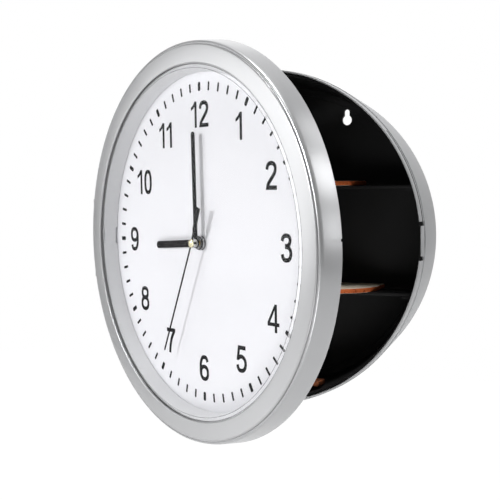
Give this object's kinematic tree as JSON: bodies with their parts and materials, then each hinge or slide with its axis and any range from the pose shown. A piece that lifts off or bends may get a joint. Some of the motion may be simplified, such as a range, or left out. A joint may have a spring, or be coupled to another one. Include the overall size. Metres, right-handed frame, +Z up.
{
  "type": "wall clock diversion safe",
  "caption": "Round wall clock whose silver-rimmed face swings open on a side hinge to show a black tub with ledges and loose shelf boards, hung on the wall by keyholes.",
  "frame": {"origin": "middle of the rear face, on the wall behind the centre of the case", "axes": "+Z up, +Y into the wall, -Y out to the room, +X to the right for a person who faces the clock"},
  "size_m": [0.2427, 0.1873, 0.254],
  "materials": {
    "silver_shell": "satin silver lacquer on moulded plastic",
    "silver_ring": "satin silver lacquer on moulded plastic",
    "bright_steel": "plain drawn steel",
    "black_plastic": "black satin moulding",
    "board": "cream face with an orange-brown cut edge",
    "clear_lens": "clear polished sheet",
    "grey_gloss": "light grey gloss",
    "white_dial": "white printed dial",
    "movement_black": "black moulding",
    "black_rubber": "soft black rubber",
    "brass_work": "turned brass",
    "black_steel": "black oxide",
    "battery_jacket": "plain wrapped cell",
    "green_board": "green resist",
    "copper_coil": "enamelled copper wire",
    "black_hand": "black lacquer"
  },
  "bodies": {
    "case": {"case_shell": "silver_shell", "tub": "black_plastic", "ledge_upper": "black_plastic", "ledge_lower": "black_plastic", "shelf_board_upper": "board", "shelf_board_lower": "board", "board_strip_bottom": "board", "hinge_pin": "bright_steel"},
    "door": {"door_ring": "silver_ring", "lens": "clear_lens", "reflector_ring": "grey_gloss", "dial": "white_dial", "back_plate": "black_plastic", "back_plate_screw_1": "bright_steel", "back_plate_screw_2": "bright_steel", "back_plate_screw_3": "bright_steel", "back_plate_screw_4": "bright_steel", "movement_housing": "movement_black", "movement_cover": "movement_black", "gasket": "black_rubber", "centre_bush": "brass_work", "dial_washer": "black_steel", "hex_nut": "black_steel", "battery": "battery_jacket", "battery_contact_positive": "bright_steel", "battery_contact_negative": "bright_steel", "circuit_board": "green_board", "drive_coil": "copper_coil"},
    "minute": {"minute_hand": "black_hand", "cannon_pinion": "brass_work", "set_knob": "black_plastic"},
    "hour": {"hour_hand": "black_hand", "hour_wheel": "brass_work"},
    "wheel": {"minute_wheel": "brass_work"},
    "second": {"second_hand": "black_hand", "hand_cap": "brass_work"},
    "latch": {"latch_tongue": "silver_shell"}
  },
  "joints": [
    {"name": "door_hinge", "type": "hinge", "parent": "case", "child": "door", "pos_m": [-0.1195, -0.0635, 0], "axis": [0, 0, -1], "range_deg": [-29, 46]},
    {"name": "minute_turn", "type": "hinge", "parent": "door", "child": "minute", "pos_m": [-0.01285, -0.11759, 0], "axis": [0.4848, 0.8746, 0], "continuous": true},
    {"name": "hour_turn", "type": "hinge", "parent": "door", "child": "hour", "pos_m": [-0.01285, -0.11759, 0], "axis": [0.4848, 0.8746, 0], "continuous": true},
    {"name": "minute_wheel_turn", "type": "hinge", "parent": "door", "child": "wheel", "pos_m": [-0.00844, -0.10963, 0.009], "axis": [0.4848, 0.8746, 0], "continuous": true},
    {"name": "second_turn", "type": "hinge", "parent": "door", "child": "second", "pos_m": [-0.01285, -0.11759, 0], "axis": [0.4848, 0.8746, 0], "continuous": true},
    {"name": "latch_flex", "type": "hinge", "parent": "case", "child": "latch", "pos_m": [0.11345, -0.0519, -0.0013], "axis": [0, 0, -1], "range_deg": [0, 4.3], "stiffness_Nm_per_rad": 0.5}
  ],
  "couplings": [
    {"joint": "hour_turn", "follows": "minute_turn", "ratio": 0.083333},
    {"joint": "minute_wheel_turn", "follows": "minute_turn", "ratio": -0.33333}
  ]
}
